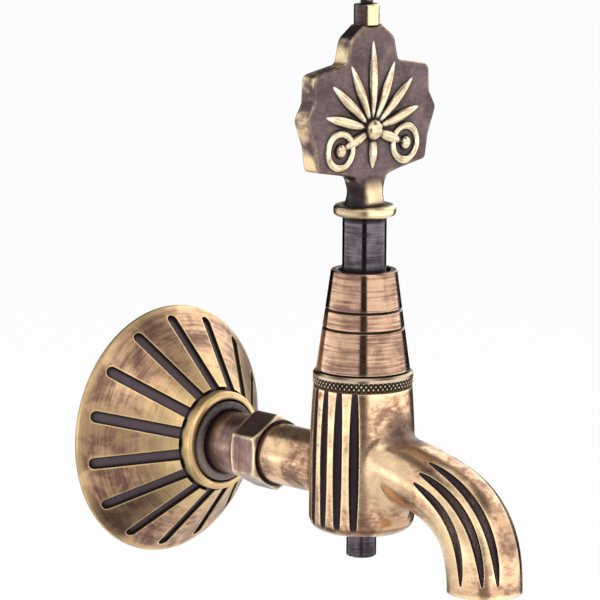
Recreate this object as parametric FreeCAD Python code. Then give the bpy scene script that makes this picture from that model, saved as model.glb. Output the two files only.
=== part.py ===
import FreeCAD
import Part
import math
import os

# Wall-mounted bath tap in aged brass: a quarter-turn plug cock with a bent spout.
# Millimetres. The wall is the plane y = 0, the tap stands out of it along -Y, and +Z is up.
# The origin is the middle of the inlet, on the wall.

Vector = FreeCAD.Vector
ORIGIN = Vector(0, 0, 0)
X_AXIS = Vector(1, 0, 0)
Y_AXIS = Vector(0, 1, 0)
Z_AXIS = Vector(0, 0, 1)

# Fits
RUNNING_FIT = 0.05          # radial, between the turning plug and what it turns in
FREE_GAP = 0.4              # between a turning piece and one it only passes
FACE_GAP = 0.08             # between flat faces that slide
CUT_OVER = 1.0              # how far a cutter reaches past the face it opens

# Wall rose: a coned shell with radial slots and a rounded collar
ROSE_R = 41.3
ROSE_EDGE = 1.0             # height of the rim at its outer edge
ROSE_EDGE_ROUND = 0.6
ROSE_CONE_H = 25.0          # height at which the cone meets the collar
ROSE_WALL = 2.2
COLLAR_R = 16.3
COLLAR_H = 3.0
COLLAR_ROUND = 1.4
MOUTH_R = 13.2
SLOT_COUNT = 15
SLOT_FIRST = 93.0           # degrees from +X towards +Z
SLOT_WIDTH = 3.9
SLOT_DEPTH = 1.1
SLOT_EDGE_MARGIN = 1.9      # rim that stays plain outside the slots, along the radius
SLOT_STOP = 0.2             # from a slot's inner end to the collar
COLLAR_GROOVE_W = 1.1       # groove round the collar's foot, into which the slots run out
COLLAR_GROOVE_D = 2.0
GASKET_T = 0.9
GASKET_WIDTH = 3.2
GROMMET_H = 5.6
GROMMET_PROUD = 1.2         # how far the grommet stands out of the mouth
GROMMET_ROUND = 1.3

# Inlet nipple: a G1/2 tail, a hexagon and a spigot that screws into the body
INLET_R = 10.48
INLET_TAIL = 15.0           # thread that enters the wall
INLET_IN_ROSE = 6.0         # thread that stays on this side of the wall
INLET_LEAD = 1.2
THREAD_PITCH = 1.814
THREAD_DEPTH = 0.95
THREAD_OPENING = 1.4
NIPPLE_R = 10.2
WATERWAY_R = 5.5
HEX_FROM_WALL = 41.7
HEX_LENGTH = 11.2
HEX_FLATS = 22.0
HEX_CHAMFER = 0.9
HEX_EDGE_ROUND = 0.7
SPIGOT_R = 8.33
SPIGOT_LENGTH = 9.7
SPIGOT_END_GAP = 0.5
NIPPLE_WASHER_T = 0.8
NIPPLE_WASHER_R = 9.6

# Body casting: boss, barrel and spout
BARREL_REACH = 90.5         # wall to barrel axis
BARREL_TOP = 28.4           # inlet axis to the barrel's top face
BARREL_BOTTOM = 18.2        # inlet axis down to the barrel's underside
BARREL_TOP_R = 15.7
BARREL_WAIST_R = 16.8       # largest radius, near the inlet's level
BARREL_BOTTOM_ROUND = 4.5
BOSS_R = 9.85
FLUTE_ANGLES = (-41.0, -22.0, -3.0, 16.0, 35.0)   # degrees from the side towards the front
FLUTE_WIDTH = 3.3
FLUTE_LENGTH = 80.0
FLUTE_MIDDLE = 6.0          # height of the widest place
FLUTE_LEAN = 1.1            # degrees that a flute leans in towards the top, as the barrel's side does
SPOUT_ROOT = (14.0, 5.2)    # out from the barrel axis, up from the inlet axis
SPOUT_PULL_OUT = (42.4, -0.4)
SPOUT_PULL_DOWN = 23.0      # how far above the outlet the bend is drawn to
SPOUT_REACH = 53.3          # barrel axis to the middle of the outlet
SPOUT_DROP = 28.9           # inlet axis down to the outlet
SPOUT_ROOT_R = 9.9
SPOUT_END_R = 11.8
SPOUT_SWELL = 0.75          # extra radius halfway along the bend
SPOUT_BURY = 9.0            # length of the root inside the barrel
SPOUT_PORT_R = 6.0
OUTLET_R = 9.3
ROOT_FILLET = 7.0
SIDE_TOLERANCE = 0.1        # how near the barrel's side an edge of the root lies
SPOUT_SECTION_COUNT = 8
GROOVE_ANGLES = ((58.0, 63.0), (34.0, 39.0), (15.0, 4.0))   # start and end, from the side to the outside
GROOVE_WIDTH = 3.0
GROOVE_END_WIDTH = 0.7
GROOVE_FULLNESS = 0.5       # 1 swells like an arch, and less keeps the width nearly to the ends
GROOVE_FROM = 0.24          # share of the bend
GROOVE_TO = 0.945
GROOVE_SECTION_COUNT = 9

# Plug: taper, stop flange, stem, square and tail
TAPER_TOP_R = 10.2
TAPER_END_R = 7.8
TAPER_TOP = 15.0            # inlet axis up to the ledge in the barrel
TAPER_BOTTOM = 13.0         # inlet axis down to the taper's small end
FLOOR_T = 3.5
PORT_WIDTH = 9.0
PORT_TOP = 12.5
PORT_BOTTOM = 5.5
FLANGE_T = 2.1
QUARTER_TURN = 90.0
STOP_PIN_R = 0.9
STOP_PIN_CIRCLE = 11.25
STOP_PIN_SEAT = 3.5
STOP_PLAY = 0.12
STEM_R = 7.0
STEM_SHOWN = 17.2           # cone mouth to the handle's collar
SQUARE = 7.0
SQUARE_H = 5.6
TAIL_R = 3.0
TAIL_FLATS = 5.0

# Tail: keyed washer, disc spring and round nut under the barrel
TAIL_WASHER_R = 4.7
TAIL_WASHER_T = 0.8
SPRING_R = 4.5
SPRING_T = 0.4
SPRING_H = 0.9
NUT_R = 4.79
NUT_H = 7.1
NUT_THREAD_H = 4.0
NUT_ROUND = 0.6
NUT_SLOT_W = 1.2
NUT_SLOT_D = 0.9

# Bonnet: threaded bush, packing, gland, lock ring and cone
BUSH_R = 12.3
BUSH_BORE_R = STEM_R + FREE_GAP
BUSH_SHOULDER = 6.4         # how far the bush's thread goes up inside the cone
BUSH_NECK_R = 10.4
BUSH_NECK_H = 3.0
BUSH_FLOOR_T = 5.4
THRUST_WASHER_T = 1.1
THRUST_WASHER_R = 11.8
PACKING_R = 9.3
PACKING_H = 2.1
PACKING_COUNT = 3
FOLLOWER_H = 2.7
GLAND_HEX = 17.0
GLAND_HEX_H = 4.0
RING_WASHER_T = 0.4
RING_WASHER_R = 15.2
RING_R = 16.0
RING_H = 4.6
RING_BEVEL = 0.7
KNURL_COUNT = 64
KNURL_DEPTH = 0.55
KNURL_H = 2.8               # the ring is plain above its knurl
KNURL_STEP = 0.1            # how far the plain part stands back
CONE_H = 32.2
CONE_BASE_R = 14.9
CONE_MOUTH_R = 10.5
CONE_FOOT_R = 13.9          # undercut that shows as a dark line above the ring
CONE_FOOT_H = 0.6
CONE_BORE_R = 8.4
CONE_WALL = 1.9
CONE_RIM_ROUND = 0.5
CONE_RINGS = (12.3, 18.2)   # turned rings, down from the mouth
CONE_RING_W = 0.9
CONE_RING_D = 0.55

# Handle: collar, neck, plate, finial and ornaments
HUB_R = 9.9
HUB_H = 3.5
HUB_ROUND = 1.3
NECK_FOOT_R = 6.6
NECK_WAIST_R = 5.7
NECK_WAIST_H = 3.6          # above the collar
NECK_H = 8.4                # collar to the plate's lower lobe
NECK_HEAD = (8.2, 3.8)      # half width and half depth where it comes to the plate
NECK_HEAD_DROP = 0.6        # from the plate's foot down to there
NECK_END = (8.8, 2.4)       # half width and half depth inside the plate
NECK_END_RISE = 2.4         # from the plate's foot up to there
PLATE_T = 6.2
PLATE_ROUND = 0.9
# Right half of the plate from its foot up: half width, height above the neck, corner radius
PLATE_CORNERS = (
    (5.5, -2.6, 0.0),
    (7.2, 0.7, 2.0),
    (12.4, 2.0, 1.6),
    (24.4, 4.1, 1.8),
    (25.6, 11.8, 3.0),
    (29.1, 20.4, 2.8),
    (26.0, 25.6, 3.0),
    (25.6, 34.3, 2.6),
    (11.6, 36.7, 2.2),
    (9.8, 44.4, 3.8),
    (4.05, 48.4, 0.0),
)
FINIAL_R = 4.05
FINIAL_H = 6.4
FINIAL_ROUND = 0.5
FINIAL_TIP_R = 2.0
FINIAL_TIP_H = 4.0
FINIAL_TIP_ROUND = 1.6
TENON_R = 2.0
TENON_H = 5.0
GRUB_R = 1.25
GRUB_LENGTH = 5.6
GRUB_KEY = 1.3
GRUB_KEY_DEPTH = 1.6

# Ornament: a fan of seven leaves over a boss, with a ring scroll at each side
ORNAMENT_H = 15.5           # boss above the neck
ORNAMENT_SINK = 0.6         # how deep the round forms lie in the plate's face
BOSS_BALL_R = 3.6
LEAF_START = 2.4
LEAF_RADIUS = 2.0
TOP_LEAF_LENGTH = 30.0
SIDE_LEAF_ANGLES = (25.0, 50.0, 75.0)                 # degrees from up
SIDE_LEAF_LENGTHS = (24.5, 25.0, 23.0)
SCROLL_X = 14.5
SCROLL_DROP = 5.4
SCROLL_R = 5.4
SCROLL_WIRE_R = 1.5
SCROLL_EYE_R = 2.4
DROP_LENGTH = 13.0
PEG_R = 1.0
PEG_DEPTH = 2.0

# Levels worked out from the sizes above
BOSS_FACE = HEX_FROM_WALL + HEX_LENGTH + NIPPLE_WASHER_T
FLANGE_FOOT = TAPER_TOP + FREE_GAP
FLANGE_TOP = FLANGE_FOOT + FLANGE_T
BUSH_FOOT = FLANGE_TOP + THRUST_WASHER_T + 2 * FACE_GAP
PACKING_FOOT = BUSH_FOOT + BUSH_FLOOR_T
FOLLOWER_FOOT = PACKING_FOOT + PACKING_COUNT * PACKING_H
GLAND_FOOT = FOLLOWER_FOOT + FOLLOWER_H
RING_FOOT = BARREL_TOP + RING_WASHER_T
RING_TOP = RING_FOOT + RING_H
BUSH_THREAD_TOP = RING_TOP + BUSH_SHOULDER
BUSH_TOP = BUSH_THREAD_TOP + BUSH_NECK_H
CONE_TOP = RING_TOP + CONE_H
HUB_FOOT = CONE_TOP + STEM_SHOWN
HUB_TOP = HUB_FOOT + HUB_H
PLATE_FOOT = HUB_TOP + NECK_H
PLATE_TOP = PLATE_FOOT + PLATE_CORNERS[-1][1]
ORNAMENT_Z = PLATE_FOOT + ORNAMENT_H
TAIL_WASHER_TOP = -BARREL_BOTTOM - FACE_GAP
SPRING_TOP = TAIL_WASHER_TOP - TAIL_WASHER_T
NUT_TOP = SPRING_TOP - SPRING_H
NUT_FOOT = NUT_TOP - NUT_H
TAPER_SLOPE = (TAPER_TOP_R - TAPER_END_R) / (TAPER_TOP + TAPER_BOTTOM)
CONE_SLOPE = (CONE_BASE_R - CONE_MOUTH_R) / (CONE_H - CONE_FOOT_H)
ROSE_SLOPE = (ROSE_CONE_H - ROSE_EDGE) / (ROSE_R - COLLAR_R)


def unit_between(start, end):
    """Unit direction from one flat point to another."""
    du = end[0] - start[0]
    dv = end[1] - start[1]
    length = math.hypot(du, dv)
    return du / length, dv / length


def corner_arc(before, corner, after):
    """Start, middle and end of the arc that rounds a corner (u, v, radius)."""
    back = unit_between(corner, before)
    ahead = unit_between(corner, after)
    half = math.acos(max(-1.0, min(1.0, back[0] * ahead[0] + back[1] * ahead[1]))) / 2
    run = corner[2] / math.tan(half)
    start = (corner[0] + back[0] * run, corner[1] + back[1] * run)
    end = (corner[0] + ahead[0] * run, corner[1] + ahead[1] * run)
    inward = unit_between((0, 0), (back[0] + ahead[0], back[1] + ahead[1]))
    depth = corner[2] / math.sin(half) - corner[2]
    middle = (corner[0] + inward[0] * depth, corner[1] + inward[1] * depth)
    return start, middle, end


def rounded_face(corners):
    """Flat face in the XZ plane through corners (u, v) or (u, v, radius)."""
    runs = []
    for index, corner in enumerate(corners):
        if len(corner) > 2 and corner[2] > 0:
            after = corners[(index + 1) % len(corners)]
            runs.append(corner_arc(corners[index - 1], corner, after))
        else:
            runs.append((corner,))
    edges = []
    for index, run in enumerate(runs):
        if len(run) == 3:
            edges.append(Part.Arc(*[Vector(p[0], 0, p[1]) for p in run]).toShape())
        here = run[-1]
        there = runs[(index + 1) % len(runs)][0]
        if math.hypot(there[0] - here[0], there[1] - here[1]) > 1e-6:
            edges.append(Part.makeLine(Vector(here[0], 0, here[1]), Vector(there[0], 0, there[1])))
    return Part.Face(Part.Wire(edges))


def turned(corners):
    """Solid turned about the Z axis from corners (radius, height) or (radius, height, rounding)."""
    return rounded_face(corners).revolve(ORIGIN, Z_AXIS, 360)


def rod(radius, foot, top):
    """Round bar on the Z axis."""
    return Part.makeCylinder(radius, top - foot, Vector(0, 0, foot))


def ring(inner, outer, foot, top):
    """Plain ring on the Z axis."""
    return rod(outer, foot, top).cut(rod(inner, foot - CUT_OVER, top + CUT_OVER))


def hexagon(flats, foot, top):
    """Hexagonal bar on the Z axis, with flats square to X."""
    corner = flats / math.sqrt(3)
    points = []
    for side in range(7):
        angle = math.radians(30 + 60 * side)
        points.append(Vector(corner * math.cos(angle), corner * math.sin(angle), foot))
    return Part.Face(Part.makePolygon(points)).extrude(Vector(0, 0, top - foot))


def turned_about(shape, axis, degrees):
    """Copy of a shape, turned about an axis through the origin."""
    copy = shape.copy()
    copy.rotate(ORIGIN, axis, degrees)
    return copy


def from_wall(shape):
    """Copy of a shape made along Z, laid to stand out of the wall."""
    return turned_about(shape, X_AXIS, 90)


def on_barrel(shape):
    """Copy of a shape made about the Z axis, moved to the barrel's axis."""
    copy = shape.copy()
    copy.translate(Vector(0, -BARREL_REACH, 0))
    return copy


def mirrored(shape):
    """Copy of a shape on the other side of the tap."""
    return shape.mirror(ORIGIN, X_AXIS)


def spindle(radius, length):
    """Solid pointed at both ends, along Z from the origin."""
    arc = Part.Arc(ORIGIN, Vector(radius, 0, length / 2), Vector(0, 0, length)).toShape()
    chord = Part.makeLine(Vector(0, 0, length), ORIGIN)
    return Part.Face(Part.Wire([arc, chord])).revolve(ORIGIN, Z_AXIS, 360)


def rose_height(radius):
    """Height of the rose's cone over the wall."""
    return ROSE_EDGE + (ROSE_R - radius) * ROSE_SLOPE


def rose_inside_drop():
    """Height from the cone's inner face to its outer face."""
    return ROSE_WALL * math.hypot(1, ROSE_SLOPE)


def rose_inside_radius(height):
    """Radius of the cone's inner face."""
    return ROSE_R - (height + rose_inside_drop() - ROSE_EDGE) / ROSE_SLOPE


def wall_rose():
    collar_top = ROSE_CONE_H + COLLAR_H
    groove_r = COLLAR_R + COLLAR_GROOVE_W
    shell = turned([
        (ROSE_R, 0),
        (ROSE_R, ROSE_EDGE, ROSE_EDGE_ROUND),
        (groove_r, rose_height(groove_r)),
        (COLLAR_R, ROSE_CONE_H - COLLAR_GROOVE_D),
        (COLLAR_R, collar_top, COLLAR_ROUND),
        (MOUTH_R, collar_top, COLLAR_ROUND),
        (MOUTH_R, rose_height(MOUTH_R) - rose_inside_drop()),
        (rose_inside_radius(0), 0),
    ])
    step = 360 / SLOT_COUNT
    shell = turned_about(shell, Z_AXIS, SLOT_FIRST + step / 2)
    end_r = ROSE_R - SLOT_EDGE_MARGIN - SLOT_WIDTH / 2
    length = end_r * math.hypot(1, ROSE_SLOPE)
    floor = Vector(0, 0, -SLOT_DEPTH)
    tall = SLOT_DEPTH + SLOT_WIDTH
    run = Part.makeBox(length, SLOT_WIDTH, tall, floor - Vector(0, SLOT_WIDTH / 2, 0))
    slot = run.fuse(Part.makeCylinder(SLOT_WIDTH / 2, tall, floor))
    slot.rotate(ORIGIN, Z_AXIS, 180)
    slot.rotate(ORIGIN, Y_AXIS, math.degrees(math.atan(ROSE_SLOPE)))
    slot.translate(Vector(end_r, 0, rose_height(end_r)))
    slot = slot.cut(rod(COLLAR_R + SLOT_STOP, 0, 2 * ROSE_R))
    slots = [turned_about(slot, Z_AXIS, SLOT_FIRST + step * index) for index in range(SLOT_COUNT)]
    return from_wall(shell.cut(Part.makeCompound(slots)))


def rose_gasket():
    inner = rose_inside_radius(GASKET_T) - GASKET_WIDTH
    return from_wall(turned([
        (inner, 0),
        (rose_inside_radius(0), 0),
        (rose_inside_radius(GASKET_T), GASKET_T),
        (inner, GASKET_T),
    ]))


def rose_grommet():
    top = ROSE_CONE_H + COLLAR_H + GROMMET_PROUD
    return from_wall(turned([
        (NIPPLE_R, top - GROMMET_H),
        (MOUTH_R, top - GROMMET_H),
        (MOUTH_R, top, GROMMET_ROUND),
        (NIPPLE_R, top, GROMMET_ROUND),
    ]))


def thread_corners(radius, foot, top):
    """Corners of V grooves one pitch apart, for a turned profile."""
    corners = []
    for index in range(int((top - foot) / THREAD_PITCH)):
        middle = foot + THREAD_PITCH * (index + 0.5)
        corners.append((radius, middle - THREAD_OPENING / 2))
        corners.append((radius - THREAD_DEPTH, middle))
        corners.append((radius, middle + THREAD_OPENING / 2))
    return corners


def inlet_nipple():
    hex_top = HEX_FROM_WALL + HEX_LENGTH
    thread_foot = INLET_LEAD - INLET_TAIL
    tube = turned([
        (0, -INLET_TAIL),
        (INLET_R - INLET_LEAD, -INLET_TAIL),
        (INLET_R, thread_foot),
        *thread_corners(INLET_R, thread_foot, INLET_IN_ROSE),
        (INLET_R, INLET_IN_ROSE),
        (NIPPLE_R, INLET_IN_ROSE),
        (NIPPLE_R, HEX_FROM_WALL),
        (SPIGOT_R, HEX_FROM_WALL),
        (SPIGOT_R, hex_top + NIPPLE_WASHER_T + SPIGOT_LENGTH),
        (0, hex_top + NIPPLE_WASHER_T + SPIGOT_LENGTH),
    ])
    corner_r = HEX_FLATS / math.sqrt(3)
    face_r = corner_r - 2 * HEX_CHAMFER
    chamfers = turned([
        (0, HEX_FROM_WALL),
        (face_r, HEX_FROM_WALL),
        (corner_r, HEX_FROM_WALL + HEX_CHAMFER),
        (corner_r, hex_top - HEX_CHAMFER),
        (face_r, hex_top),
        (0, hex_top),
    ])
    bar = hexagon(HEX_FLATS, HEX_FROM_WALL, hex_top)
    corners = [edge for edge in bar.Edges if abs(edge.CenterOfMass.z - (HEX_FROM_WALL + hex_top) / 2) < 1e-6]
    nipple = tube.fuse(bar.makeFillet(HEX_EDGE_ROUND, corners).common(chamfers))
    bore = rod(WATERWAY_R, -INLET_TAIL - CUT_OVER, BOSS_FACE + SPIGOT_LENGTH + CUT_OVER)
    return from_wall(nipple.cut(bore))


def nipple_washer():
    foot = HEX_FROM_WALL + HEX_LENGTH
    return from_wall(ring(SPIGOT_R, NIPPLE_WASHER_R, foot, foot + NIPPLE_WASHER_T))


def spout_line():
    """Middle line of the bend, in the plane x = 0."""
    outlet = (SPOUT_REACH, -SPOUT_DROP)
    above = (SPOUT_REACH, SPOUT_PULL_DOWN - SPOUT_DROP)
    poles = [SPOUT_ROOT, SPOUT_PULL_OUT, above, outlet]
    line = Part.BezierCurve()
    line.setPoles([Vector(0, -BARREL_REACH - out, up) for out, up in poles])
    return line


def spout_radius(share):
    """Outer radius of the spout at a share of the bend."""
    return SPOUT_ROOT_R + (SPOUT_END_R - SPOUT_ROOT_R) * share + SPOUT_SWELL * 4 * share * (1 - share)


def spout_bore_radius(share):
    """Radius of the waterway in the spout at a share of the bend."""
    return SPOUT_PORT_R + (OUTLET_R - SPOUT_PORT_R) * min(max(share, 0.0), 1.0)


def spout_place(share):
    """Point, direction and outward normal of the bend at a share of it; past its ends it runs straight."""
    line = spout_line()
    inside = min(max(share, 0.0), 1.0)
    along = line.tangent(inside)[0]
    point = line.value(inside) + along * (share - inside) * SPOUT_BURY
    return point, along, along.cross(X_AXIS).normalize()


def circle_wire(centre, normal, radius):
    return Part.Wire(Part.makeCircle(radius, centre, normal))


def spout_loft(shares, radius_at):
    """Bent round bar through circles at these shares of the bend."""
    wires = []
    for share in shares:
        point, along, _ = spout_place(share)
        wires.append(circle_wire(point, along, radius_at(share)))
    return Part.makeLoft(wires, True)


def even_shares(first, last, count):
    return [first + (last - first) * index / (count - 1) for index in range(count)]


def spout_groove(first, last):
    """Cutter for one groove on the -X side, narrow at both ends, between two angles."""
    wires = []
    for share in even_shares(GROOVE_FROM, GROOVE_TO, GROOVE_SECTION_COUNT):
        point, along, outward = spout_place(share)
        part = (share - GROOVE_FROM) / (GROOVE_TO - GROOVE_FROM)
        angle = math.radians(first + (last - first) * part)
        side = X_AXIS * -math.cos(angle) + outward * math.sin(angle)
        swell = max(0.0, math.sin(math.pi * part)) ** GROOVE_FULLNESS
        width = GROOVE_END_WIDTH + (GROOVE_WIDTH - GROOVE_END_WIDTH) * swell
        wires.append(circle_wire(point + side * spout_radius(share), along, width / 2))
    return Part.makeLoft(wires, True)


def barrel_flute(angle):
    """Cutter for one flute of the barrel on the -X side."""
    flute = spindle(FLUTE_WIDTH / 2, FLUTE_LENGTH)
    flute.translate(Vector(0, 0, FLUTE_MIDDLE - FLUTE_LENGTH / 2))
    flute.rotate(ORIGIN, Y_AXIS, FLUTE_LEAN)
    flute.translate(Vector(-BARREL_WAIST_R, 0, 0))
    return on_barrel(turned_about(flute, Z_AXIS, angle))


def taper(fit, top, bottom):
    """Tapered bar between two heights, smaller than the seat by a fit."""
    top_r = TAPER_TOP_R + TAPER_SLOPE * (top - TAPER_TOP) - fit
    bottom_r = TAPER_END_R - TAPER_SLOPE * (bottom - TAPER_BOTTOM) - fit
    return turned([(0, -bottom), (bottom_r, -bottom), (top_r, top), (0, top)])


def barrel_casting():
    """Barrel before its bore, with the swelling side and the rounded underside."""
    top = Vector(BARREL_TOP_R, 0, BARREL_TOP)
    waist = Vector(BARREL_WAIST_R, 0, 0)
    side_end = Vector(BARREL_WAIST_R, 0, BARREL_BOTTOM_ROUND - BARREL_BOTTOM)
    turn_r = BARREL_BOTTOM_ROUND * math.sqrt(0.5)
    middle = side_end + Vector(turn_r - BARREL_BOTTOM_ROUND, 0, -turn_r)
    foot = side_end - Vector(BARREL_BOTTOM_ROUND, 0, BARREL_BOTTOM_ROUND)
    swell = Vector((3 * BARREL_WAIST_R + BARREL_TOP_R) / 4, 0, BARREL_TOP / 2)
    edges = [
        Part.makeLine(Vector(0, 0, BARREL_TOP), top),
        Part.Arc(top, swell, waist).toShape(),
        Part.makeLine(waist, side_end),
        Part.Arc(side_end, middle, foot).toShape(),
        Part.makeLine(foot, Vector(0, 0, -BARREL_BOTTOM)),
        Part.makeLine(Vector(0, 0, -BARREL_BOTTOM), Vector(0, 0, BARREL_TOP)),
    ]
    barrel = Part.Face(Part.Wire(edges)).revolve(ORIGIN, Z_AXIS, 360)
    return on_barrel(turned_about(barrel, Z_AXIS, 90))


def on_barrel_side(point):
    """Whether a point lies on the barrel's swelling or straight side."""
    radius = math.hypot(point.x, point.y + BARREL_REACH)
    return BARREL_TOP_R - SIDE_TOLERANCE < radius < BARREL_WAIST_R + SIDE_TOLERANCE


def tap_body():
    shares = [-1.0] + even_shares(0.0, 1.0, SPOUT_SECTION_COUNT)
    spout = spout_loft(shares, spout_radius)
    casting = barrel_casting().fuse(spout).removeSplitter()
    front = [edge for edge in casting.Edges
             if edge.CenterOfMass.y < -BARREL_REACH - SPOUT_ROOT[0] / 2
             and all(on_barrel_side(edge.valueAt(edge.getParameterByLength(edge.Length * part)))
                     for part in (0.1, 0.5, 0.9))]
    casting = casting.makeFillet(ROOT_FILLET, front)
    casting = casting.fuse(from_wall(rod(BOSS_R, BOSS_FACE, BARREL_REACH)))
    socket_end = BOSS_FACE + SPIGOT_LENGTH + SPIGOT_END_GAP
    bored = casting.cut(from_wall(rod(SPIGOT_R, BOSS_FACE - CUT_OVER, socket_end)))
    bored = bored.cut(from_wall(rod(WATERWAY_R, BOSS_FACE, BARREL_REACH)))
    past_outlet = 1.0 + CUT_OVER / SPOUT_BURY
    bored = bored.cut(spout_loft(shares + [past_outlet], spout_bore_radius))
    bored = bored.cut(on_barrel(taper(0.0, TAPER_TOP, BARREL_BOTTOM - FLOOR_T)))
    bored = bored.cut(on_barrel(rod(BUSH_R, TAPER_TOP, BARREL_TOP + CUT_OVER)))
    bored = bored.cut(on_barrel(rod(TAIL_R + FREE_GAP, -BARREL_BOTTOM - CUT_OVER, 0)))
    bored = bored.cut(stop_pin())
    for angle in FLUTE_ANGLES:
        flute = barrel_flute(angle)
        bored = bored.cut(Part.makeCompound([flute, mirrored(flute)]))
    for first, last in GROOVE_ANGLES:
        groove = spout_groove(first, last)
        bored = bored.cut(Part.makeCompound([groove, mirrored(groove)]))
    return bored


def stop_pin():
    foot = Vector(STOP_PIN_CIRCLE, 0, TAPER_TOP - STOP_PIN_SEAT)
    return on_barrel(Part.makeCylinder(STOP_PIN_R, FLANGE_TOP - foot.z, foot))


def tail_bar(foot, top):
    """Plug tail with its two flats."""
    flats = Part.makeBox(4 * TAIL_R, TAIL_FLATS, top - foot, Vector(-2 * TAIL_R, -TAIL_FLATS / 2, foot))
    return rod(TAIL_R, foot, top).common(flats)


def square_bar(foot, top):
    """Square on top of the stem, with flats facing the wall."""
    return Part.makeBox(SQUARE, SQUARE, top - foot, Vector(-SQUARE / 2, -SQUARE / 2, foot))


def taper_plug():
    plug = taper(RUNNING_FIT, TAPER_TOP, TAPER_BOTTOM)
    plug = plug.fuse(rod(STEM_R, 0, HUB_FOOT))
    flange_r = BUSH_R - FREE_GAP
    window_r = STOP_PIN_CIRCLE - STOP_PIN_R - FREE_GAP
    flange = rod(flange_r, FLANGE_FOOT, FLANGE_TOP)
    half_pin = math.degrees(math.asin((STOP_PIN_R + STOP_PLAY) / STOP_PIN_CIRCLE))
    sweep = QUARTER_TURN + 2 * half_pin
    window_foot = Vector(0, 0, FLANGE_FOOT - CUT_OVER)
    window = Part.makeCylinder(BUSH_R, FLANGE_T + 2 * CUT_OVER, window_foot, Z_AXIS, sweep)
    window = window.cut(rod(window_r, FLANGE_FOOT - 2 * CUT_OVER, FLANGE_TOP + 2 * CUT_OVER))
    plug = plug.fuse(flange.cut(turned_about(window, Z_AXIS, half_pin - sweep)))
    plug = plug.fuse(rod(window_r, TAPER_TOP, FLANGE_TOP))
    plug = plug.fuse(square_bar(HUB_FOOT, HUB_FOOT + SQUARE_H))
    plug = plug.fuse(rod(TAIL_R, -BARREL_BOTTOM, -TAPER_BOTTOM))
    plug = plug.fuse(tail_bar(NUT_TOP - NUT_THREAD_H, -BARREL_BOTTOM))
    half = PORT_WIDTH / 2
    port = Part.makeBox(4 * TAPER_TOP_R, PORT_WIDTH, PORT_TOP + PORT_BOTTOM - PORT_WIDTH,
                        Vector(-2 * TAPER_TOP_R, -half, half - PORT_BOTTOM))
    for height in (PORT_TOP - half, half - PORT_BOTTOM):
        start = Vector(-2 * TAPER_TOP_R, 0, height)
        port = port.fuse(Part.makeCylinder(half, 4 * TAPER_TOP_R, start, X_AXIS))
    return on_barrel(plug.cut(port).removeSplitter())


def tail_washer():
    washer = rod(TAIL_WASHER_R, SPRING_TOP, TAIL_WASHER_TOP)
    return on_barrel(washer.cut(tail_bar(SPRING_TOP - CUT_OVER, TAIL_WASHER_TOP + CUT_OVER)))


def tail_spring():
    inner = TAIL_R + FREE_GAP / 2
    return on_barrel(turned([
        (inner, SPRING_TOP - SPRING_T),
        (SPRING_R, SPRING_TOP - SPRING_H),
        (SPRING_R, SPRING_TOP - SPRING_H + SPRING_T),
        (inner, SPRING_TOP),
    ]))


def tail_nut():
    nut = turned([
        (0, NUT_FOOT),
        (NUT_R, NUT_FOOT, NUT_ROUND),
        (NUT_R, NUT_TOP),
        (0, NUT_TOP),
    ])
    nut = nut.cut(rod(TAIL_R, NUT_TOP - NUT_THREAD_H, NUT_TOP + CUT_OVER))
    slot = Part.makeBox(4 * NUT_R, NUT_SLOT_W, NUT_SLOT_D + CUT_OVER,
                        Vector(-2 * NUT_R, -NUT_SLOT_W / 2, NUT_FOOT - CUT_OVER))
    return on_barrel(nut.cut(slot))


def thrust_washer():
    foot = FLANGE_TOP + FACE_GAP
    return on_barrel(ring(BUSH_BORE_R, THRUST_WASHER_R, foot, foot + THRUST_WASHER_T))


def bonnet_nut():
    bush = turned([
        (0, BUSH_FOOT),
        (BUSH_R, BUSH_FOOT),
        (BUSH_R, BUSH_THREAD_TOP),
        (BUSH_NECK_R, BUSH_THREAD_TOP),
        (BUSH_NECK_R, BUSH_TOP),
        (0, BUSH_TOP),
    ])
    bush = bush.cut(rod(BUSH_BORE_R, BUSH_FOOT - CUT_OVER, BUSH_TOP))
    return on_barrel(bush.cut(rod(PACKING_R, PACKING_FOOT, BUSH_TOP + CUT_OVER)))


def gland_packing():
    rings = []
    for index in range(PACKING_COUNT):
        foot = PACKING_FOOT + PACKING_H * index
        rings.append(on_barrel(ring(STEM_R + RUNNING_FIT, PACKING_R, foot, foot + PACKING_H)))
    return Part.makeCompound(rings)


def gland_follower():
    return on_barrel(ring(BUSH_BORE_R, PACKING_R, FOLLOWER_FOOT, GLAND_FOOT))


def gland_screw():
    screw = rod(PACKING_R, GLAND_FOOT, BUSH_TOP).fuse(hexagon(GLAND_HEX, BUSH_TOP, BUSH_TOP + GLAND_HEX_H))
    return on_barrel(screw.cut(rod(BUSH_BORE_R, GLAND_FOOT - CUT_OVER, BUSH_TOP + 2 * GLAND_HEX_H)))


def ring_washer():
    return on_barrel(ring(BUSH_R, RING_WASHER_R, BARREL_TOP, RING_FOOT))


def knurled_ring():
    points = []
    for index in range(2 * KNURL_COUNT + 1):
        angle = math.pi * index / KNURL_COUNT
        radius = RING_R - KNURL_DEPTH * (index % 2)
        points.append(Vector(radius * math.cos(angle), radius * math.sin(angle), RING_FOOT))
    knurl = Part.Face(Part.makePolygon(points)).extrude(Vector(0, 0, KNURL_H))
    knurl = knurl.fuse(rod(RING_R - KNURL_STEP, RING_FOOT + KNURL_H, RING_TOP))
    bevels = turned([
        (BUSH_R, RING_FOOT),
        (RING_R - RING_BEVEL, RING_FOOT),
        (RING_R, RING_FOOT + RING_BEVEL),
        (RING_R, RING_TOP - RING_BEVEL),
        (RING_R - RING_BEVEL, RING_TOP),
        (BUSH_R, RING_TOP),
    ])
    return on_barrel(knurl.common(bevels))


def cone_radius(height):
    """Outer radius of the cone."""
    return CONE_MOUTH_R + CONE_SLOPE * (CONE_TOP - height)


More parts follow.
